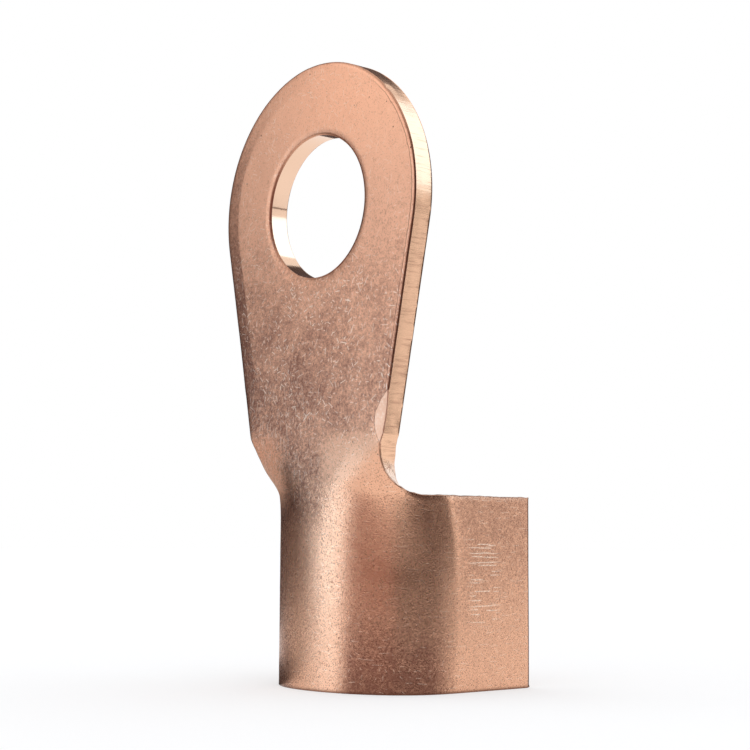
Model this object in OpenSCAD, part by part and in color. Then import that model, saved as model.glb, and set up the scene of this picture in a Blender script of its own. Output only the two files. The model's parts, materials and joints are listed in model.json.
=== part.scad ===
// Open-barrel ring cable lug, pressed and curled in one piece from copper sheet.
// It stands on the cable end of its barrel with the palm upright, +Z up.
// The palm's outer face looks to -Y and the barrel's two wings run to +Y.
// The origin is the centre of the footprint.

/* [Sheet] */
// Thickness of the copper sheet
sheet_t = 1.6; // [1:0.1:2.5]

/* [Palm] */
// Diameter of the bolt hole
hole_d = 10.5; // [6:0.1:13]
// Outer diameter of the ring round the bolt hole
ring_d = 20.5; // [17:0.1:26]
// Height of the bolt hole's centre above the cable end
hole_h = 33.8; // [32:0.1:50]
// Width of the palm where the sheet starts to curl
neck_w = 14; // [12:0.1:16]

/* [Barrel] */
// Outer width across the two wings
barrel_w = 15.4; // [14:0.1:18]
// Outer depth from the palm's face to the wings' free edges
barrel_depth = 13.8; // [9:0.1:20]
// Height of the wings
wing_h = 13.5; // [9:0.1:16]
// Outer radius of the barrel's two round corners
corner_r = 6.5; // [5.5:0.1:7.5]

/* [Neck] */
// Height over which the sheet curls, above the wings' top edges
curl_l = 3.5; // [3.3:0.1:6]
// Width that stays flat at the top of the curl
neck_flat = 5.2; // [3:0.1:7]
// Depth below the wings' top edges at which the corners have their full radius
blend_l = 2.2; // [1:0.1:5]
// Radius of the notch between the palm and each wing
notch_r = 2.6; // [1.5:0.1:2.8]

/* [Hidden] */
$fn = 96;
cut = 1;

ring_r = ring_d / 2;
flat = barrel_w / 2 - corner_r;
curl_h = wing_h + curl_l;
full_h = wing_h - blend_l;

// Taper of the palm's sides, tangent to the ring and through the neck's width
drop = hole_h - curl_h;
taper = atan2(drop, neck_w / 2) - acos(ring_r / norm([drop, neck_w / 2]));

// The sides run on to just inside their tangent points, so that they cross the ring's outline
meet_r = ring_r - 0.01;

// Centre of the notch circle, tangent to the wing's top edge and to the palm's side
notch_h = wing_h + notch_r;
notch_x = palm_side(notch_h) + notch_r / cos(taper);

// Steps of the curled sheet: round its section, up the wings, round the notch and up to the palm
core_steps = 48;
wing_steps = 5;
root_steps = 5;
notch_steps = 12;
rise_steps = 2;

// Half width of the palm's blank at a height below the ring
function palm_side(h) = neck_w / 2 + (h - curl_h) * tan(taper);

// How far the forming has gone between the top of the curl and a height below it
function formed(h, bottom, power) =
    let (t = min(max((curl_h - h) / (curl_h - bottom), 0), 1))
    pow(t, power) / (pow(t, power) + pow(1 - t, power));

// Half width that stays flat, outer radius of the corner and distance round to the wing
function flat_at(h) = neck_flat / 2 + (flat - neck_flat / 2) * formed(h, full_h, 2);
function corner_at(h) = barrel_w / 2 - flat_at(h);
function wing_root(h) = flat_at(h) + corner_at(h) * PI / 2;

// Point on the right half of the sheet, a distance s round its outer face and a depth into it.
// The sheet has turned through the angle a there, and past the corner the wing is flat.
function half_point(s, h, depth) =
    let (share = formed(h, wing_h, 1.2), f = flat_at(h), root = wing_root(h))
    let (a = 90 * share * min(max((s - f) / (root - f), 0), 1))
    let (x = share > 0 ? min(s, f) + corner_at(h) / share * sin(a) : s)
    let (y = (share > 0 ? corner_at(h) / share * (1 - cos(a)) : 0) + max(s - root, 0))
    [x - depth * sin(a), y + depth * cos(a), h];

function sheet_point(s, h, depth) =
    let (p = half_point(abs(s), h, depth))
    [s < 0 ? -p.x : p.x, p.y, p.z];

// Closed loop round the sheet's section: the outer face, then the inner face back
function section(places, h) = concat(
    [for (s = places) sheet_point(s, h, 0)],
    [for (i = [len(places) - 1:-1:0]) sheet_point(places[i], h, sheet_t)]
);

// Places round the sheet below the notch, and over the whole section with its two wings
function core_places(half) = [for (i = [-core_steps:2:core_steps]) half * i / core_steps];
function wing_places(h) = concat(
    [for (i = [1:wing_steps]) notch_x + (wing_root(h) - notch_x) * i / wing_steps],
    [wing_root(h) + barrel_depth - corner_at(h)]
);
function full_places(h) =
    let (wing = wing_places(h))
    concat([for (i = [wing_steps:-1:0]) -wing[i]], core_places(notch_x), wing);

// Two triangles for each step round and between neighbouring loops
function skin(loops) = [
    for (k = [0:len(loops) - 2], i = [0:len(loops[k]) - 1])
    let (j = (i + 1) % len(loops[k]))
    each [
        [loops[k][i], loops[k + 1][i], loops[k + 1][j]],
        [loops[k][i], loops[k + 1][j], loops[k][j]]
    ]
];

// Strip of sheet end across the thickness, between two places along a loop, looking up
function sheet_end(loop, from, to) = [
    for (i = [from:to - 1])
    let (n = len(loop))
    each [
        [loop[i], loop[n - 2 - i], loop[i + 1]],
        [loop[i], loop[n - 1 - i], loop[n - 2 - i]]
    ]
];
function flipped(faces) = [for (f = faces) [f[2], f[1], f[0]]];

module palm() {
    difference() {
        rotate([90, 0, 0])
        translate([0, 0, -sheet_t])
        linear_extrude(sheet_t)
        union() {
            translate([0, hole_h])
            circle(r = ring_r);
            polygon([
                [-neck_w / 2, curl_h],
                [neck_w / 2, curl_h],
                [meet_r * cos(taper), hole_h - meet_r * sin(taper)],
                [-meet_r * cos(taper), hole_h - meet_r * sin(taper)]
            ]);
        }
        translate([0, -cut, hole_h])
        rotate([-90, 0, 0])
        cylinder(d = hole_d, h = sheet_t + 2 * cut);
    }
}

// The barrel with its two wings, and the curl that runs out of it into the palm
module curled_sheet() {
    barrel_heights = concat([0], [for (i = [0:root_steps]) full_h + blend_l * i / root_steps]);
    barrel_loops = [for (h = barrel_heights) section(full_places(h), h)];
    notch_loops = [
        for (i = [1:notch_steps])
        let (t = (90 + taper) * i / notch_steps)
        section(core_places(notch_x - notch_r * sin(t)), notch_h - notch_r * cos(t))
    ];
    notch_top = notch_h + notch_r * sin(taper);
    rise_loops = [
        for (i = [1:rise_steps])
        let (h = notch_top + (curl_h - notch_top) * i / rise_steps)
        section(core_places(palm_side(h)), h)
    ];
    upper_loops = concat(notch_loops, rise_loops);

    // Point numbers of each loop. The upper loops start from the core of the wings' top loop.
    n = len(barrel_loops[0]);
    m = len(upper_loops[0]);
    side = wing_steps + 1;
    barrel_ids = [for (k = [0:len(barrel_loops) - 1]) [for (i = [0:n - 1]) k * n + i]];
    wing_top = barrel_ids[len(barrel_loops) - 1];
    core_ids = concat(
        [for (i = [side:n / 2 - side - 1]) wing_top[i]],
        [for (i = [n / 2 + side:n - side - 1]) wing_top[i]]
    );
    upper_start = len(barrel_loops) * n;
    upper_ids = concat(
        [core_ids],
        [for (k = [0:len(upper_loops) - 1]) [for (i = [0:m - 1]) upper_start + k * m + i]]
    );
    polyhedron(
        points = [for (loop = concat(barrel_loops, upper_loops)) each loop],
        faces = concat(
            flipped(sheet_end(barrel_ids[0], 0, n / 2 - 1)),
            skin(barrel_ids),
            sheet_end(wing_top, 0, side),
            sheet_end(wing_top, n / 2 - side - 1, n / 2 - 1),
            skin(upper_ids),
            sheet_end(upper_ids[len(upper_loops)], 0, m / 2 - 1)
        )
    );
}

module lug() {
    color("#c98d72")
    translate([0, -barrel_depth / 2, 0])
    union() {
        palm();
        curled_sheet();
    }
}

lug();
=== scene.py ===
import json
import math
from functools import partial

import bpy
import numpy as np
from mathutils import Matrix, Vector, kdtree, noise


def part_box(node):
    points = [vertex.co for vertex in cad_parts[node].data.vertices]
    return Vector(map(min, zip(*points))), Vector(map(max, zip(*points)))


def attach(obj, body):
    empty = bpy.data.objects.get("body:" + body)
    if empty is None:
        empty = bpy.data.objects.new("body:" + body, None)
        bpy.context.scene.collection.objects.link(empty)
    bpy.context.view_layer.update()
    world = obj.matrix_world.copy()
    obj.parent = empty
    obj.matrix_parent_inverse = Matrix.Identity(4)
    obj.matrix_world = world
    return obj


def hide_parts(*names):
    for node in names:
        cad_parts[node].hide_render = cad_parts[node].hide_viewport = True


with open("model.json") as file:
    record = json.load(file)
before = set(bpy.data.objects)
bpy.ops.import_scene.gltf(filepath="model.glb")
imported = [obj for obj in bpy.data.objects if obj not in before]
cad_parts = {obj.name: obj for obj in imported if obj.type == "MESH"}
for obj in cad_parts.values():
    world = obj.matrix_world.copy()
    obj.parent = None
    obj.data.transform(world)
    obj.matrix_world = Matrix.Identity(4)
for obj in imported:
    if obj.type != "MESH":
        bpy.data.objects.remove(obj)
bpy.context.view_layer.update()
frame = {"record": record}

mm = 0.001
lugLow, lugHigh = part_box("lug")
boltHole = next(mount for mount in frame["record"]["mounts"] if mount["name"] == "bolt_hole")
print("frame loaded, lug box in mm:", [round(v / mm, 2) for v in (*lugLow, *lugHigh)])

camera = {
    "azimuth": 47.74,  # degrees round from the palm's own direction
    "elevation": -5.604,
    "roll": 0.306,
    "distance": 123.24,  # mm, close enough for the near wing to look tall
    "aim": (-0.521, -0.616, 22.29),
    "lens": 81.408,
    "sensor": 36.0,
    "clip": (0.005, 20),  # metres
}


def directions(turn, rise):
    # the way back to the eye, and the way to its right, for angles in radians
    back = Vector((math.sin(turn) * math.cos(rise), -math.cos(turn) * math.cos(rise), math.sin(rise)))
    return back, Vector((math.cos(turn), math.sin(turn), 0))


def placeCamera():
    turn, rise, roll = (math.radians(camera[angle]) for angle in ("azimuth", "elevation", "roll"))
    back, right = directions(turn, rise)
    up = back.cross(right)
    side = right * math.cos(roll) + up * math.sin(roll)
    top = up * math.cos(roll) - right * math.sin(roll)
    place = Matrix((side, top, back)).transposed().to_4x4()
    place.translation = (Vector(camera["aim"]) + back * camera["distance"]) * mm
    lens = bpy.data.cameras.new("lugCamera")
    lens.sensor_width, lens.lens = camera["sensor"], camera["lens"]
    lens.clip_start, lens.clip_end = camera["clip"]
    eye = bpy.data.objects.new("lugCamera", lens)
    bpy.context.scene.collection.objects.link(eye)
    eye.matrix_world = place
    bpy.context.scene.camera = eye


placeCamera()
bpy.context.scene.view_settings.view_transform = "Standard"
print("camera placed")

# the lug is cut flat and then pressed: s runs across the flat sheet and h up it
lug = {
    "sheet": 1.6,  # mm, as are all lengths here
    "holeR": boltHole["dims"]["r_mm"],
    "holeH": boltHole["pos_m"][2] / mm,
    "ringR": (lugHigh.x - lugLow.x) / 2 / mm,
    "barrelDepth": (lugHigh.y - lugLow.y) / mm,
    "barrelW": 15.4,
    "wingH": 13.5,
    "cornerR": 6.5,
    "neckW": 14.0,
    "neckFlat": 5.2,
    "curlL": 3.5,
    "blendL": 2.2,
    "notchR": 2.6,
    "crown": 0.528,  # share of the barrel's bend left for its far half, so that its front is crowned
    "bendL": 10.020,
    "hold": 0.5,  # share of the turn that the right corner still lacks where the notch ends
    "holdH": (8.2, 14.4),  # heights over which it grows, and how far across the sheet it fades
    "holdS": (5.4, 8.8),
    "holdPower": 1.7,
    "leftRise": 0.7,  # the left fold starts this much higher
    "spring": 0.07,  # share of the turn that the wings' roots relax over the next length
    "springL": 1.3,
    "curlPower": 1.35,  # how quickly the curl sets in, as against the flat and the crown
    "flatPower": 2,
    "crownPower": 1.6,
    "squareS": (3.5, 9.5),  # across the sheet and up it, where the wings are kept upright
    "squareH": (14.5, 17),
    "joinH": 20.0,  # where the ring's rays meet the rows below
    "splitTurn": 30.0,  # degrees round the notch at which the wing's rows begin
    "dip": 1.0,  # how far the rows sag there, so that they meet the notch squarely
    "columns": 64,
    "rays": 240,
    "rings": 24,
    "rowsBelow": 54,
    "rowsNotch": 13,
    "rowsNeck": 14,
    "wingColumns": 39,
    "edgeBands": (0.03, 0.05, 0.08),
    "wallSteps": (0.03, 0.12, 0.35, 0.35, 0.35, 0.28, 0.09, 0.03),
}
flat = lug["barrelW"] / 2 - lug["cornerR"]
curlH = lug["wingH"] + lug["curlL"]
fullH = lug["wingH"] - lug["blendL"]
drop = lug["holeH"] - curlH
taper = math.atan2(drop, lug["neckW"] / 2) - math.acos(lug["ringR"] / math.hypot(drop, lug["neckW"] / 2))


def smooth(value, low, high):
    t = np.clip((value - low) / (high - low), 0, 1)
    return t * t * (3 - 2 * t)


def palmSide(h):
    return lug["neckW"] / 2 + (h - curlH) * math.tan(taper)


notchH = lug["wingH"] + lug["notchR"]
notchX = palmSide(notchH) + lug["notchR"] / math.cos(taper)


def notchPoint(turn):
    return notchX - lug["notchR"] * math.sin(turn), notchH - lug["notchR"] * math.cos(turn)


splitS, splitH = notchPoint(math.radians(lug["splitTurn"]))


def formed(h, bottom, power):
    t = np.clip((curlH - h) / (curlH - bottom), 0, 1)
    return t**power / (t**power + (1 - t) ** power)


def flatAt(h):
    return lug["neckFlat"] / 2 + (flat - lug["neckFlat"] / 2) * formed(h, fullH, lug["flatPower"])


def cornerAt(h):
    return lug["barrelW"] / 2 - flatAt(h)


def sectionTurn(s, h, side):
    # how far the sheet has turned from the palm's plane, in radians
    plain = np.clip((s - flatAt(h)) / (cornerAt(h) * math.pi / 2), 0, 1)
    q = np.minimum(s / lug["bendL"], 1)
    spring, crown = lug["spring"], lug["crown"]
    relaxed = 1 - spring * np.exp(-np.maximum(s - lug["bendL"], 0) / lug["springL"])
    crowned = np.where(q < 1, (1 - spring) * q * (1 - crown + crown * q), relaxed)
    share = formed(h, fullH - 2, lug["crownPower"])
    low, high = lug["holdH"]
    held = lug["hold"] * np.clip((h - low) / (high - low), 0, 1) ** lug["holdPower"]
    held = held * (1 - smooth(s, *lug["holdS"])) * (side > 0)
    higher = h - lug["leftRise"] * smooth(h, lug["wingH"], curlH + lug["leftRise"]) * (side < 0)
    turned = (plain + (crowned - plain) * share) * formed(higher, lug["wingH"], lug["curlPower"])
    return turned * (1 - held) * math.pi / 2


def wingEnds(side):
    # for some heights, the sheet's length from the middle to the barrel's back edge, and the width gained
    heights, s = np.linspace(0, lug["wingH"], 28), np.arange(0, 24, 0.02)
    lengths, widths = [], []
    for h in heights:
        turned = sectionTurn(s + 0.01, np.full_like(s, h), side)
        lengths.append(float(np.interp(lug["barrelDepth"], np.cumsum(np.sin(turned)) * 0.02, s + 0.02)))
        widths.append(np.sum(np.cos(turned[s < lengths[-1]])) * 0.02)
    return heights, lengths, np.array(widths) - widths[0]


ends = {side: wingEnds(side) for side in (-1, 1)}


def pressed(s, h, depth, steps=40):
    side, s = np.sign(s), np.abs(s)
    x, y = np.zeros_like(s), np.zeros_like(s)
    for k in range(steps):
        turned = sectionTurn(s * (k + 0.5) / steps, h, side)
        x += np.cos(turned) * s / steps
        y += np.sin(turned) * s / steps
    turned = sectionTurn(s, h, side)
    for way in (-1, 1):
        gained = np.interp(h, ends[way][0], ends[way][2])
        x -= (side == way) * gained * smooth(s, *lug["squareS"]) * (1 - smooth(h, *lug["squareH"]))
    y = np.minimum(y + depth * np.cos(turned), lug["barrelDepth"])
    return np.stack([side * (x - depth * np.sin(turned)), y - lug["barrelDepth"] / 2, h], 1)


def deselectAll():
    if bpy.context.object and bpy.context.object.mode != "OBJECT":
        bpy.ops.object.mode_set(mode="OBJECT")
    bpy.ops.object.select_all(action="DESELECT")


def layGrid(name, columns, rows, place):
    deselectAll()
    bpy.ops.mesh.primitive_grid_add(x_subdivisions=columns, y_subdivisions=rows, size=2)
    piece = bpy.context.object
    piece.name = name
    for v in piece.data.vertices:
        s, h = place(round((v.co.x + 1) / 2 * columns), round((v.co.y + 1) / 2 * rows))
        v.co = (s * mm, 0, h * mm)
    return piece


def wingTop(s):
    if s >= notchX:
        return lug["wingH"]
    return notchH - math.sqrt(lug["notchR"] ** 2 - (notchX - s) ** 2)


def corePlace(i, j):
    share = 2 * i / lug["columns"] - 1
    below, notch = lug["rowsBelow"], lug["rowsNotch"]
    sag = lug["dip"] * (1 - (j - below) / (notch + lug["rowsNeck"]))
    if j <= below:
        edgeS, edgeH = splitS, splitH * j / below
        sag = lug["dip"] * (j / below) ** 2
    elif j <= below + notch:
        turn = math.radians(lug["splitTurn"] + (90 - lug["splitTurn"]) * (j - below) / notch)
        edgeS, edgeH = notchPoint(turn + taper * (j - below) / notch)
    else:
        topH = notchPoint(math.pi / 2 + taper)[1]
        edgeH = topH + (lug["joinH"] - topH) * (j - below - notch) / lug["rowsNeck"]
        edgeS = palmSide(edgeH)
    return share * edgeS, edgeH - sag * (1 - abs(share) ** 4)


def wingPlace(side, i, j):
    low = j / lug["rowsBelow"]
    share = i / lug["wingColumns"]
    h = low * lug["wingH"]
    for _ in range(4):  # the row's height and the wing's end depend on each other
        s = splitS + (float(np.interp(h, *ends[side][:2])) - splitS) * share
        h = low * wingTop(s)
    return side * s, h


def palmOutline():
    join, ringR, holeH = lug["joinH"], lug["ringR"], lug["holeH"]
    half = palmSide(join)
    points = [(half * (2 * i / lug["columns"] - 1), join) for i in range(lug["columns"])]
    touch = (ringR * math.cos(taper), holeH - ringR * math.sin(taper))
    line = math.hypot(touch[0] - half, touch[1] - join)
    arc = ringR * (math.pi + 2 * taper)
    for k in range(lug["rays"]):
        along = (2 * line + arc) * k / lug["rays"]
        if along < line:
            share = along / line
            points.append((half + (touch[0] - half) * share, join + (touch[1] - join) * share))
        elif along < line + arc:
            turn = (along - line) / ringR - taper
            points.append((ringR * math.cos(turn), holeH + ringR * math.sin(turn)))
        else:
            share = (along - line - arc) / line
            points.append((-touch[0] + (touch[0] - half) * share, touch[1] + (join - touch[1]) * share))
    return points


outline = palmOutline()


def palmPlace(i, j):
    s, h = outline[i % len(outline)]
    holeR, holeH = lug["holeR"], lug["holeH"]
    away = math.hypot(s, h - holeH)
    innerS, innerH = s / away * holeR, holeH + (h - holeH) / away * holeR
    t = j / lug["rings"]
    return innerS + (s - innerS) * t, innerH + (h - innerH) * t


def makeBlank():
    coreRows = lug["rowsBelow"] + lug["rowsNotch"] + lug["rowsNeck"]
    parts = [
        layGrid("lugSheet", len(outline), lug["rings"], palmPlace),
        layGrid("core", lug["columns"], coreRows, corePlace),
        layGrid("rightWing", lug["wingColumns"], lug["rowsBelow"], partial(wingPlace, 1)),
        layGrid("leftWing", lug["wingColumns"], lug["rowsBelow"], partial(wingPlace, -1)),
    ]
    for part in parts:
        part.select_set(True)
    blank = parts[0]
    bpy.context.view_layer.objects.active = blank
    bpy.ops.object.join()
    bpy.ops.object.mode_set(mode="EDIT")
    bpy.ops.mesh.select_mode(type="FACE")
    bpy.ops.mesh.select_all(action="SELECT")
    bpy.ops.mesh.remove_doubles(threshold=0.002 * mm)
    bpy.ops.mesh.normals_make_consistent(inside=False)
    for band in lug["edgeBands"]:
        bpy.ops.mesh.inset(thickness=band * mm, depth=0, use_boundary=True)
        bpy.ops.mesh.select_all(action="SELECT")
    for step in lug["wallSteps"]:
        bpy.ops.mesh.extrude_region_move(TRANSFORM_OT_translate={"value": (0, step * mm, 0)})
    bpy.ops.mesh.select_all(action="SELECT")
    bpy.ops.mesh.normals_make_consistent(inside=False)
    bpy.ops.object.mode_set(mode="OBJECT")
    return blank


blank = makeBlank()
print("blank:", len(blank.data.vertices), "points", len(blank.data.polygons), "faces")


def meshPlaces(mesh):
    co = np.zeros(len(mesh.vertices) * 3, np.float32)
    mesh.vertices.foreach_get("co", co)
    return co.reshape(-1, 3).astype(float)


def fixedStart(run):
    # the run anticlockwise from its lowest point, so that the edges come out the same every time
    ahead = np.roll(run, -1, 0)
    if np.sum(run[:, 0] * ahead[:, 1] - ahead[:, 0] * run[:, 1]) < 0:
        run = run[::-1]
    return np.roll(run, -int(np.argmin(run[:, 1] + run[:, 0] * 0.01)), 0)


def freeEdges(mesh):
    # the outer face's rims as closed runs of points: the blank's own, and the bore's
    co = meshPlaces(mesh) / mm
    onFace = co[:, 1] < 0.001
    order = {}
    for face in mesh.polygons:
        corners = list(face.vertices)
        rimPair = [v for v in corners if onFace[v]]
        if len(rimPair) == 2:
            a, b = rimPair
            order.setdefault(a, []).append(b)
            order.setdefault(b, []).append(a)
    runs, seen = [], set()
    for start in order:
        here = start
        run = []
        while here is not None and here not in seen:
            seen.add(here)
            run.append(here)
            here = next((v for v in order[here] if v not in seen), None)
        if run:
            runs.append(fixedStart(co[run][:, [0, 2]]))
    return sorted(runs, key=len)


def edgeTree(runs, spacing=0.03):
    # close-set points along the rims, each with its outward direction and its place along the run
    points, outward, along, bore = [], [], [], []
    for run in runs:
        ahead = np.roll(run, -1, 0)
        area = np.sum(run[:, 0] * ahead[:, 1] - ahead[:, 0] * run[:, 1])
        radius = np.hypot(run[:, 0], run[:, 1] - lug["holeH"])
        isBore = radius.max() < lug["holeR"] + 0.05
        way = math.copysign(1, area) * (-1 if isBore else 1)
        length = 0
        for here, there in zip(run, ahead):
            step = there - here
            size = np.hypot(*step)
            if size < 1e-6:
                continue
            normal = np.array([step[1], -step[0]]) / size * way
            count = max(1, round(size / spacing))
            for k in range(count):
                points.append(here + step * k / count)
                outward.append(normal)
                along.append(length + size * k / count)
                bore.append(isBore)
            length += size
    tree = kdtree.KDTree(len(points))
    for k, (x, h) in enumerate(points):
        tree.insert((x, 0, h), k)
    tree.balance()
    return tree, np.array(outward), np.array(along), np.array(bore)


def noiseAt(x, y, size, seed):
    shift = Vector((seed, seed * 1.7, -seed))
    return np.array([noise.fractal(Vector((a, b, 0)) / size + shift, 0.8, 2.1, 2) for a, b in zip(x, y)])


finish = {
    "leftRollW": 1.4,  # mm, as are the lengths here: the wide soft edge down the palm's left, and its depth
    "leftRollD": 0.085,
    "roundR": 0.14,  # quarter rounds of the palm's edges, then of the other ones
    "leftR": 0.1,
    "boreR": 0.17,
    "wingR": 0.12,
    "footR": 0.04,
    "struckR": 0.05,
    "waveD": 0.02,  # slow waves left by the press and the barrel, and the ripple on them, each with its length
    "waveL": 7.0,
    "rippleD": 0.006,
    "rippleL": 1.6,
    "struckLow": 16.7,  # where the right edge was struck flat: its heights, width, slope and step
    "struckHigh": 20.4,
    "struckW": 0.95,
    "struckSlope": 0.16,
    "struckStep": 0.012,
    "creaseS": 11.35,  # where the press tool ended: its place, the width before it, the rise there, the sink after
    "creaseW": 1.45,
    "creaseRise": 0.09,
    "creaseD": 0.13,
    "shearBack": 0.02,  # cut walls lie back by this, and torn ones from tornFrom on by a little more
    "tornFrom": 0.75,
    "tornTo": 1.1,
    "tornBack": 0.012,
    "notchBack": 0.04,
    "stepH": 17.15,  # below this the right wall is set back
    "stepD": 0.05,
    "wingTopD": 0.04,
    "burrD": 0.26,
    "burrTurn": (40, 48, 66, 78),  # degrees round the ring between which the rim has burrs
}


def zonesOf(s, h):
    # how much of each tone, kind of wear and painted shade there is, from 0 to 1, by the place on the flat sheet
    onPalm = smooth(h, 13, 19)
    neckBare = smooth(h, 18.8, 16.4) * smooth(s, -0.3, 2.6)
    flank = smooth(h, 11.5, 14) * smooth(h, 19, 16.5) * smooth(s, -2.5, -4.5)
    darkening = smooth(h, 38, 20) * (0.82 + 0.22 * smooth(s, 5, -6)) * (0.1 + 0.9 * smooth(h, 10, 13.5))
    # painted shade: the barrel darker towards its foot, clear of the front highlight
    foot = smooth(h, 8.2, 1.2) * smooth(s, 12, 8.8) * (smooth(s, 1.9, 3.8) + 0.45 * smooth(s, -1.8, -3.4))
    upperRight = smooth(s, 3, 7) * smooth(h, 25, 31)
    return {
        "onPalm": onPalm,
        "flank": flank,  # the neck's left side, scratched bare and so rougher
        "palmTarnish": darkening * (1 - 0.97 * neckBare) * (1 - 0.75 * flank),
        "footShadeAndWingDark": foot + 0.45 * smooth(s, 11, 12.5) * smooth(h, 3, 11),  # painted shade at the foot, and the wing thinly darker towards its top
        # painted contact shade, darkest at the bottom edge
        "footContactShade": 0.35 * foot * smooth(h, 2.4, 0),
        "palmTone": onPalm * (1 - neckBare) * (1 - smooth(s, 1, 7) * smooth(h, 35, 41)),
        "topTone": 0.8 * smooth(s, -7, 3) * smooth(h, 33, 41),
        "palmWear": onPalm * (0.4 + 0.6 * smooth(h, 37, 27)) * (1 - 0.5 * upperRight),
        "neckWear": 0.65 * smooth(h, 25, 17) * smooth(h, 10.5, 13.5) * smooth(s, 2.5, -2.5),
        "wingWear": smooth(s, 12.2, 13.2) * smooth(s, 16.2, 14.8) * smooth(h, 4.2, 5) * smooth(h, 11.2, 10),
    }


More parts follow.
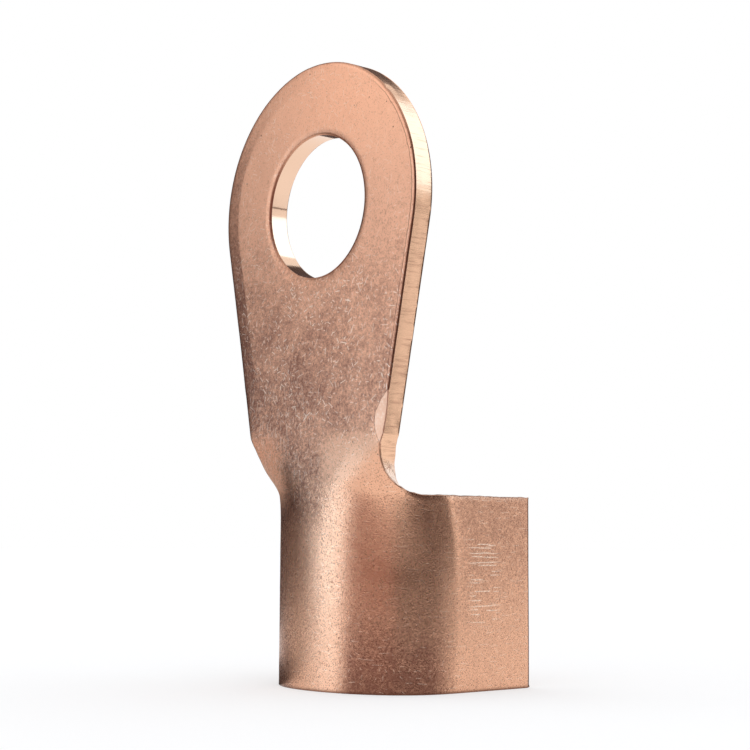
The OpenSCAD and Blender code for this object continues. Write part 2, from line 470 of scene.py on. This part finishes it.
def shapeBlank():
    mesh = blank.data
    s, depth, h = (meshPlaces(mesh) / mm).T.copy()
    tree, outward, along, bore = edgeTree(freeEdges(mesh))
    found = [tree.find((x, 0, z)) for x, z in zip(s, h)]
    near = np.array([f[1] for f in found])
    edge = np.array([f[2] for f in found])
    out, run, inBore = outward[near], along[near], bore[near]
    sheet, onRight = lug["sheet"], out[:, 0] > 0.5
    onWall = (depth > 0.001) & (depth < sheet - 0.001)
    outer = depth < 0.001
    outerShare = np.clip(1 - depth / 0.5, 0, 1)
    struckLow, struckHigh, footR = finish["struckLow"], finish["struckHigh"], finish["footR"]

    # the soft edge that blanking leaves round the outer face
    left = smooth(-out[:, 0], -0.25, 0.45) * smooth(h, 17, 25) * ~inBore
    ragged = noiseAt(s, h, 0.9, 3.1)
    width = finish["leftRollW"] * (1 + 0.07 * ragged)
    onWingTop = (out[:, 1] > 0.9) & (h < 14.2) & (np.abs(s) > notchX - 0.3)
    onFoot = (out[:, 1] < -0.9) & (h < 1)
    radii = [finish["boreR"], finish["wingR"], footR, finish["leftR"]]
    radius = np.select([inBore, onWingTop, onFoot, left > 0.5], radii, finish["roundR"])
    radius = np.where((h > struckLow) & (h < struckHigh) & onRight & ~inBore, finish["struckR"], radius)
    inside = np.clip(radius - edge, 0, None)
    roll = radius - np.sqrt(np.clip(radius**2 - inside**2, 0, None))
    roll += left * finish["leftRollD"] * np.clip(1 - edge / width, 0, 1) ** 1.03
    waves = np.clip(noiseAt(s, h, finish["waveL"], 1.3) * 1.6, -1, 1)
    ripples = np.clip(noiseAt(s, h, finish["rippleL"], 8.2) * 1.6, -1, 1)
    wave = finish["waveD"] * (0.5 + 0.5 * waves) + finish["rippleD"] * (0.5 + 0.5 * ripples)

    # the struck facet just above the curl, and the crease at the root of the near wing
    middle, reach = (struckLow + struckHigh) / 2, (struckHigh - struckLow) / 2
    lens = finish["struckW"] * np.clip(1 - ((h - middle) / reach) ** 2, 0, 1) * onRight * (1 + 0.15 * ragged)
    struck = np.where((lens > 0.02) & (edge < lens), (lens - edge) * finish["struckSlope"] + finish["struckStep"], 0)
    beyond = s - finish["creaseS"]
    rise = finish["creaseRise"] * np.clip(beyond + finish["creaseW"], 0, None)
    sink = finish["creaseD"] * np.exp(-np.clip(beyond, 0, None))
    crease = -np.where(beyond < 0, rise, sink) * (0.3 + 0.7 * smooth(h, 6.5, 11)) * (s > 0)
    newDepth = depth + (roll + struck) * outerShare + (wave + crease) * (1 - depth / sheet)

    # walls: a burnished band, then a rougher torn one set back a little, and rougher still in the notch
    torn = smooth(depth, finish["tornFrom"], finish["tornTo"]) * onWall
    rough = noiseAt(run, depth * 2.5, 0.5, 5.5)
    inNotch = smooth(h, 13.2, 13.9) * (1 - smooth(h, 16.6, 17.6)) * (np.abs(s) < notchX + 0.3)
    back = finish["shearBack"] + torn * finish["tornBack"] * (1 + rough)
    back += inNotch * (finish["notchBack"] + 0.07 * rough) * ~inBore
    back += finish["stepD"] * (h < finish["stepH"]) * (out[:, 0] > 0) * (h > 13.6) * ~inBore
    back = np.where(inBore, -finish["boreR"], back)
    back = np.where(onWingTop, finish["shearBack"] + finish["wingTopD"] * (1 + rough), back)
    turn = np.degrees(np.arctan2(h - lug["holeH"], s))
    from1, from2, to1, to2 = finish["burrTurn"]
    burrs = smooth(turn, from1, from2) * (1 - smooth(turn, to1, to2)) * (edge < 0.2) * (depth < 0.2) * ~inBore
    back += burrs * np.clip(noiseAt(run, depth * 0, 0.7, 9.4), 0, 1) * finish["burrD"]
    fade = np.where(onWall, 1, np.clip(1 - edge / 0.2, 0, 1))
    moved = np.where((edge < 0.2) & ~((edge > 0.17) & ~onWall), back * fade, 0)
    moved = np.where((np.abs(h) < 0.0005) & (np.abs(out[:, 1]) > 0.9), np.minimum(moved, 0), moved)
    s, h = s - out[:, 0] * moved, h - out[:, 1] * moved
    place = pressed(s, h, newDepth)
    mesh.vertices.foreach_set("co", (place * mm).astype(np.float32).ravel())

    beside = outer * smooth(out[:, 0], 0.15, 0.4) * ~inBore
    keep = {
        "wall": onWall,
        "bore": inBore & (edge < 0.01),
        "edge": edge,
        "outer": outer,
        # painted shade on the soft rolled band down the palm's left
        "leftRimShade": left * outer * smooth(h, 41.5, 37.5) * (0.35 + 0.65 * smooth(h, 17, 30)),
        # painted shade: a thin dark line along the outer face's edges, darkest along the foot
        "line": (edge < 0.1) * (depth < 0.04) * np.where(h < 1, 1, np.where(inBore, 0.35, 0.6)),
        "notch": smooth(h, 13.1, 13.7) * (1 - smooth(h, 14.9, 15.9)) * (np.abs(s) < notchX + 0.5) * onWall,
        "lens": finish["struckW"] * (1 - ((h - middle) / reach) ** 2),
        "struckSide": outer * (s > 3),
        "struckLine": 0.5 * beside * smooth(h, 20.6, 20.2) * smooth(h, 16.4, 16.8),
        "besideLine": 0.6 * beside * smooth(h, 20.2, 21.2) * smooth(h, 42.5, 40),
        **zonesOf(s, h),
    }
    for name, values in keep.items():
        share = mesh.attributes.new(name, "FLOAT", "POINT")
        share.data.foreach_set("value", values.astype(np.float32))
    flatPlace, wallPlace = np.stack([s, h, depth], 1), np.stack([run, depth, inBore * 1.0], 1)
    for name, values in (("sheetPlace", flatPlace), ("wallPlace", wallPlace)):
        share = mesh.attributes.new(name, "FLOAT_VECTOR", "POINT")
        share.data.foreach_set("vector", values.astype(np.float32).ravel())
    mesh.update()
    deselectAll()
    blank.select_set(True)
    bpy.context.view_layer.objects.active = blank
    bpy.ops.object.shade_smooth_by_angle(angle=math.radians(28))
    return list(keep)


zoneNames = shapeBlank()
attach(blank, "root")
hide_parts("lug")
print("pressed:", len(blank.data.polygons), "faces")

copper = {
    "clean": "#f2ba99",
    "palm": "#efb494",
    "ringTop": "#ffbd99",
    "struck": "#ecba9c",
    # brown for tarnish, and for painted shade on the left rim and the foot
    "tarnishAndShade": "#9a6a58",
    # bare metal in the scratches, paled further as painted glint
    "bareScratchAndGlint": "#ffe2cb",
    # dark for pits, and for painted shade at the foot and along the edges
    "pitAndShadeDark": "#6b4638",
    "cut": "#f4c4a2",
    "bored": "#f4ceb2",
    "tornLight": "#fbe0cd",
    "tornDark": "#b08472",
    "barrelRough": 0.27,
    "palmRough": 0.38,
    "flankRough": 0.22,  # added to the palm's on the neck's left side
    "cutRough": 0.2,
    "boreRough": 0.1,
    "grainUp": 0.009,  # mm, heights of the etched grain, of a scratch and of a pit
    "scratchD": 0.004,
    "pitD": 0.006,
    "streakUp": 0.01,
    "boreStreakUp": 0.0005,
    "pitApart": 0.8,
}
grains = {  # size in mm, detail, roughness and distortion of each noise over the sheet
    "blotch": (3.2, 3, 0.55, 0.0),
    "mottle": (0.75, 3, 0.6, 0.0),
    "wornPatch": (4.0, 2, 0.5, 0.3),
}
etches = {  # the same through the solid: the metal's own grain is finer, and is drawn this coarse to show
    "haze": (0.2, 4, 0.75, 0.0),
    "speck": (0.085, 1, 0.5, 0.0),
    "pits": (0.1, 1, 0.5, 0.0),
}
marks = {  # families of scratches, in mm and radians, wider than real ones so that they show
    "tumbled": (
        {"cell": 0.7, "length": 0.75, "halfWidth": 0.036, "share": 0.5},
        {"cell": 0.45, "length": 0.45, "halfWidth": 0.034, "share": 0.55, "seed": 7.0},
        {"cell": 0.3, "length": 0.28, "halfWidth": 0.03, "share": 0.45, "seed": 19.0, "strength": 0.55},
    ),
    "upright": (
        {"cell": 0.36, "length": 0.8, "halfWidth": 0.03, "share": 0.4, "seed": 3.0}
        | {"stretch": (1, 2.0), "angle": math.pi / 2, "spread": 1.3},
        {"cell": 0.28, "length": 0.5, "halfWidth": 0.026, "share": 0.4, "seed": 13.0}
        | {"stretch": (1, 1.7), "angle": math.pi / 2, "spread": 1.6},
    ),
    "barrel": (
        {"cell": 0.5, "length": 0.5, "halfWidth": 0.028, "share": 0.45, "seed": 5.0},
        {"cell": 0.4, "length": 0.55, "halfWidth": 0.028, "share": 0.3, "seed": 23.0}
        | {"stretch": (1.8, 1), "angle": 0, "spread": 0.5},
    ),
    "wing": (
        {"cell": 0.3, "length": 1.6, "halfWidth": 0.03, "share": 0.55, "seed": 31.0}
        | {"stretch": (4.5, 1), "angle": 0, "spread": 0.16},
    ),
}


def linear(hexColour):
    parts = [int(hexColour[k : k + 2], 16) / 255 for k in (1, 3, 5)]
    return (*(c / 12.92 if c <= 0.04045 else ((c + 0.055) / 1.055) ** 2.4 for c in parts), 1)


def addNode(tree, kind, *values, inputs=None, out=0, **settings):
    # values fill the inputs in their order, and inputs fills them by name or number
    node = tree.nodes.new("ShaderNode" + kind)
    for name, value in settings.items():
        setattr(node, name, value)
    for key, value in (*enumerate(values), *(inputs or {}).items()):
        if isinstance(value, bpy.types.NodeSocket):
            tree.links.new(value, node.inputs[key])
        else:
            node.inputs[key].default_value = value
    return node if out is None else node.outputs[out]


def tumbledCopper():
    # bare sheet copper, blanked, pressed and then tumbled with its fellows: a soft pink metal sheen, dulled brown
    # where it has tarnished, with painted shade on the left rim, along the edges and at the foot, short bright
    # scratches on the palm whose pale colour is partly painted glint, and bright, streaked cut edges
    metal = bpy.data.materials.new("tumbledCopper")
    metal.use_nodes = True
    tree = metal.node_tree
    tree.nodes.clear()
    add = partial(addNode, tree)
    times, minus, most = {"operation": "MULTIPLY"}, {"operation": "SUBTRACT"}, {"operation": "MAXIMUM"}
    scaled, soft = {"operation": "MULTIPLY_ADD"}, {"interpolation_type": "SMOOTHSTEP"}
    tone = {name: linear(value) for name, value in copper.items() if isinstance(value, str)}
    sheetPlace = add("Attribute", attribute_name="sheetPlace", out="Vector")
    wallPlace = add("Attribute", attribute_name="wallPlace", out="Vector")
    zone = {name: add("Attribute", attribute_name=name, out="Fac") for name in zoneNames}
    wall, bore, edge, onPalm = (zone[name] for name in ("wall", "bore", "edge", "onPalm"))
    solid = add("VectorMath", add("TexCoord", out="Object"), inputs={"Scale": 1 / mm}, operation="SCALE")
    grain = {}
    for place, table in ((sheetPlace, grains), (solid, etches)):
        for name, (size, detail, rough, bend) in table.items():
            settings = {"Vector": place, "Scale": 1 / size, "Detail": detail, "Roughness": rough, "Distortion": bend}
            grain[name] = add("TexNoise", inputs=settings)

    def coated(base, *coats):
        for coat, share in coats:
            base = add("Mix", share, inputs={6: base, 7: coat}, out=2, data_type="RGBA")
        return base

    def scratches(
        cell, length, halfWidth, share, stretch=(1, 1), angle=math.pi, spread=math.tau, seed=0.0, strength=1
    ):
        # one straight mark in a share of the cells of a scattered pattern, each with its own angle and length
        moved = add("VectorMath", sheetPlace, (seed, seed * 2.3, 0), operation="ADD")
        counts = (1 / (cell * stretch[0]), 1 / (cell * stretch[1]), 0)
        cells = add("VectorMath", moved, counts, operation="MULTIPLY")
        settings = {"Vector": cells, "Scale": 1, "Randomness": 1}
        spot = add("TexVoronoi", inputs=settings, out=None, voronoi_dimensions="2D")
        local = add("VectorMath", cells, spot.outputs["Position"], operation="SUBTRACT")
        chance = add("SeparateColor", spot.outputs["Color"], out=None).outputs
        turn = add("Math", chance[0], spread, angle - spread / 2, **scaled)
        turned = add("VectorRotate", inputs={"Vector": local, "Angle": turn}, rotation_type="Z_AXIS")
        lengthwise, crosswise = add("SeparateXYZ", turned, out=None).outputs[:2]
        off = add("Math", crosswise, operation="ABSOLUTE")
        thin = add("MapRange", off, halfWidth / cell * 0.4, halfWidth / cell * 1.3, 1, 0, **soft)
        reach = add("Math", chance[2], -length / cell / 2, add("Math", lengthwise, operation="ABSOLUTE"), **scaled)
        short = add("MapRange", reach, -0.12, 0.02, 1, 0, **soft)
        picked = add("Math", add("Math", chance[1], share, operation="LESS_THAN"), strength, **times)
        return add("Math", add("Math", thin, short, **times), picked, **times)

    uneven = add("Math", grain["mottle"], 0.5, **minus)

    # tarnish gathers in blotches on the lower palm; painted shade darkens the left rim's soft roll and the foot, and
    # the wing grows thinly darker towards its top
    # painted shade on the left rim's soft roll, with a ragged inner edge
    rimEdge = add("Math", uneven, 0.5, edge, **scaled)
    rimW = finish["leftRollW"]
    leftRimShade = add("Math", add("MapRange", rimEdge, rimW + 0.05, rimW - 0.1, **soft), zone["leftRimShade"], **times)
    blotched = add("MapRange", grain["blotch"], 0.3, 0.7, 0.6, 1, **soft)
    darkening = add("Math", leftRimShade, 0.45, zone["footShadeAndWingDark"], **scaled)
    darkening = add("Math", zone["palmTarnish"], blotched, darkening, **scaled)
    hazeGain = add("Math", onPalm, -0.5, 2.5, **scaled)
    hazed = add("Math", add("Math", grain["haze"], 0.5, **minus), hazeGain, **times)
    fine = add("Math", add("Math", uneven, 0.65, hazed, **scaled), 0.12, **minus)
    fineGain = add("Math", zone["palmTarnish"], 0.7, 0.75, **scaled)
    darkening = add("Math", fine, fineGain, darkening, use_clamp=True, **scaled)

    # short bright scratches lie all ways on the palm, upright on the neck, and level on the wing: bare metal, paled
    # further as painted glint
    patchy = add("Math", add("MapRange", grain["wornPatch"], 0.4, 0.6, **soft), 0.6, 0.55, **scaled)
    wear = {
        "tumbled": add("Math", zone["palmWear"], patchy, **times),
        "upright": zone["neckWear"],
        "barrel": add("Math", onPalm, -0.4, 0.4, **scaled),
        "wing": zone["wingWear"],
    }
    worn = 0.0
    for family, where in wear.items():
        for mark in marks[family]:
            worn = add("Math", worn, add("Math", scratches(**mark), where, **times), **most)

    # dark specks, each under a tenth of a millimetre across, densest on the barrel, with a few deeper ones
    bare = add("Math", 1, wall, **minus)
    speckShare = add("Math", add("Math", onPalm, -0.42, 0.7, **scaled), bare, **times)
    finePit = add("Math", add("MapRange", grain["pits"], 0.56, 0.7, **soft), speckShare, **times)
    spot = add("TexVoronoi", inputs={"Vector": solid, "Scale": 1 / copper["pitApart"], "Randomness": 1}, out=None)
    deepPit = add("MapRange", spot.outputs["Distance"], 0.05, 0.1, 1, 0, **soft)
    chosen = add("Math", add("SeparateColor", spot.outputs["Color"]), 0.25, operation="LESS_THAN")
    deepPit = add("Math", deepPit, add("Math", chosen, bare, **times), **times)
    pit = add("Math", finePit, deepPit, **most)

    # fine dark line beside the palm's right edge
    besideEdge = add("Math", edge, add("Math", grain["mottle"], 0.16, 0.26, **scaled), **minus)
    besideEdge = add("Math", besideEdge, operation="ABSOLUTE")
    besideLine = add("Math", add("MapRange", besideEdge, 0.055, 0.02, **soft), zone["besideLine"], **times)

    # cut walls: fresh metal with fine streaks through the thickness, and a torn, speckled notch
    streaks = add("VectorMath", wallPlace, (1 / 0.16, 1 / 2.2, 1), operation="MULTIPLY")
    shear = add("TexNoise", inputs={"Vector": streaks, "Scale": 1, "Detail": 3, "Roughness": 0.6})
    streaked = add("MapRange", shear, 0.48, 0.75, 0, 0.5, **soft)
    lit = add("Math", grain["haze"], 0.6, add("Math", grain["mottle"], 0.4, **times), **scaled)
    tornTone = coated(tone["tornDark"], (tone["tornLight"], add("MapRange", lit, 0.4, 0.52, **soft)))
    notched = add("Math", zone["notch"], 0.9, **times)
    cutTone = coated(tone["cut"], (tone["tarnishAndShade"], streaked), (tone["bored"], bore), (tornTone, notched))

    # the struck facet, and the dark line round it
    inLens = add("Math", add("Math", uneven, 0.3, zone["lens"], **scaled), edge, **minus)
    struck = add("Math", add("MapRange", inLens, 0, 0.05, **soft), zone["struckSide"], **times)
    sparkle = add("MapRange", grain["haze"], 0.45, 0.7, 0, 0.6, **soft)
    struckTone = coated(tone["struck"], (tone["tornLight"], sparkle))
    lensEdge = add("Math", inLens, operation="ABSOLUTE")
    struckLine = add("Math", add("MapRange", lensEdge, 0.05, 0.01, **soft), zone["struckLine"], **times)

    colour = coated(
        tone["clean"],
        (tone["palm"], zone["palmTone"]),
        (tone["ringTop"], zone["topTone"]),
        (tone["tarnishAndShade"], darkening),
        # painted contact shade at the foot
        (tone["pitAndShadeDark"], zone["footContactShade"]),
        (tone["bareScratchAndGlint"], add("Math", worn, 0.95, **times)),
        (tone["pitAndShadeDark"], add("Math", pit, 0.75, **times)),
        # painted shade along the edges
        (tone["pitAndShadeDark"], add("Math", zone["line"], 0.75, **times)),
        (tone["pitAndShadeDark"], besideLine),
        (cutTone, wall),
        (struckTone, struck),
        (tone["pitAndShadeDark"], struckLine),
    )

    rough = add("Math", onPalm, copper["palmRough"] - copper["barrelRough"], copper["barrelRough"], **scaled)
    rough = add("Math", uneven, 0.12, rough, **scaled)
    rough = add("Math", worn, -0.08, rough, **scaled)
    rough = add("Math", zone["flank"], copper["flankRough"], rough, **scaled)
    cutRough = add("Math", bore, copper["boreRough"] - copper["cutRough"], copper["cutRough"], **scaled)
    rough = add("Mix", wall, inputs={2: rough, 3: cutRough})

    height = add("Math", grain["speck"], grain["haze"], operation="ADD")
    height = add("Math", height, copper["grainUp"], **times)
    height = add("Math", worn, -copper["scratchD"], height, **scaled)
    height = add("Math", pit, -copper["pitD"], height, **scaled)
    streakUp, boreUp = copper["streakUp"], copper["boreStreakUp"]
    wallHeight = add("Math", shear, add("Math", bore, boreUp - streakUp, streakUp, **scaled), **times)
    height = add("Mix", wall, inputs={2: height, 3: wallHeight})
    bump = add("Bump", inputs={"Strength": 1, "Distance": mm, "Height": height})
    skin = {"Base Color": colour, "Metallic": 1, "Roughness": rough, "Normal": bump}
    add("OutputMaterial", add("BsdfPrincipled", inputs=skin), out=None)
    return metal


blank.data.materials.clear()
blank.data.materials.append(tumbledCopper())
print("copper ready")

studio = {
    "floorSize": 3.0,  # metres
    "floorGlow": 0.42,
    "floorColour": "#c9cacc",
    "room": 1.0,
    "aimH": 20,  # mm, the height that the lamps are turned to
    "cardClear": 0.03,  # mm, how far the cards lie above the floor
    "lamps": (  # name, azimuth, elevation, distance, width and height in mm, strength, colour
        ("keyBox", -28, 22, 420, 330, 460, 0.4, "#d4ecff"),
        ("lowStrip", -34, -2.3, 200, 100, 26, 2.2, "#9cd8ff"),
        ("rimBox", 150, 34, 420, 340, 330, 1.35, "#ace0ff"),
    ),
    # dark cards that only the metal mirrors: name, from and to azimuth at the floor and at the top,
    # radii of the floor part and of the wall, the wall's height, all in mm, colour
    "cards": (
        ("leftCard", -125, -41.5, -188, -74, 75, 150, 200, "#554a49"),
        ("frontCard", -14, 44, -14, 44, 50, 150, 200, "#8e6a64"),
        ("rightCard", 44, 126, 44, 123, 49, 150, 200, "#4f4241"),
        ("leftFoot", -120, -42, -120, -42, 6, 30, 0.1, "#5d5250"),
        ("farStrip", 96, 212, 96, 212, 1400, 1400, 44, "#55423a"),
    ),
}


def aimed(azimuth, elevation, distance):
    back, right = directions(math.radians(azimuth), math.radians(elevation))
    place = Matrix((right, back.cross(right), back)).transposed().to_4x4()
    place.translation = (Vector((0, 0, studio["aimH"])) + back * distance) * mm
    return place


def mattPaint(name, colour, glow=0):
    # flat studio paint: no gloss, so the floor and the cards show no marks of their own
    paint = bpy.data.materials.new(name)
    paint.use_nodes = True
    tree = paint.node_tree
    tree.nodes.clear()
    skin = addNode(tree, "BsdfDiffuse", linear(colour))
    if glow:
        skin = addNode(tree, "AddShader", skin, addNode(tree, "Emission", (1, 1, 1, 1), glow))
    addNode(tree, "OutputMaterial", skin, out=None)
    return paint


def makeFloor():
    deselectAll()
    bpy.ops.mesh.primitive_plane_add(size=studio["floorSize"], location=(0, 0, 0))
    floor = bpy.context.object
    floor.name = "floor"
    floor.data.materials.append(mattPaint("whiteFloor", studio["floorColour"], studio["floorGlow"]))


def makeLamp(name, azimuth, elevation, distance, width, height, strength, colour):
    light = bpy.data.lights.new(name, "AREA")
    light.shape, light.size, light.size_y = "RECTANGLE", width * mm, height * mm
    light.energy = strength * math.pi * width * height * mm * mm
    light.color = linear(colour)[:3]
    lamp = bpy.data.objects.new(name, light)
    bpy.context.scene.collection.objects.link(lamp)
    lamp.matrix_world = aimed(azimuth, elevation, distance)
    lamp.visible_diffuse = False


def makeCard(name, start, end, topStart, topEnd, near, far, height, colour):
    deselectAll()
    bpy.ops.mesh.primitive_grid_add(x_subdivisions=24, y_subdivisions=2, size=2)
    card = bpy.context.object
    card.name = name
    clear = studio["cardClear"]
    levels = ((near, clear, start, end), (far, clear, start, end), (far, height, topStart, topEnd))
    for v in card.data.vertices:
        radius, z, first, last = levels[round(v.co.y + 1)]
        turn = math.radians(first + (last - first) * (v.co.x + 1) / 2)
        v.co = Vector((radius * math.sin(turn), -radius * math.cos(turn), z)) * mm
    card.data.materials.append(mattPaint(name + "Paint", colour))
    card.visible_camera = card.visible_shadow = card.visible_diffuse = False


def makeRoom():
    world = bpy.data.worlds.new("whiteRoom")
    bpy.context.scene.world = world
    world.use_nodes = True
    sky = world.node_tree.nodes["Background"]
    sky.inputs["Color"].default_value = (1, 1, 1, 1)
    sky.inputs["Strength"].default_value = studio["room"]


makeFloor()
for lamp in studio["lamps"]:
    makeLamp(*lamp)
for card in studio["cards"]:
    makeCard(*card)
makeRoom()
print("studio ready")
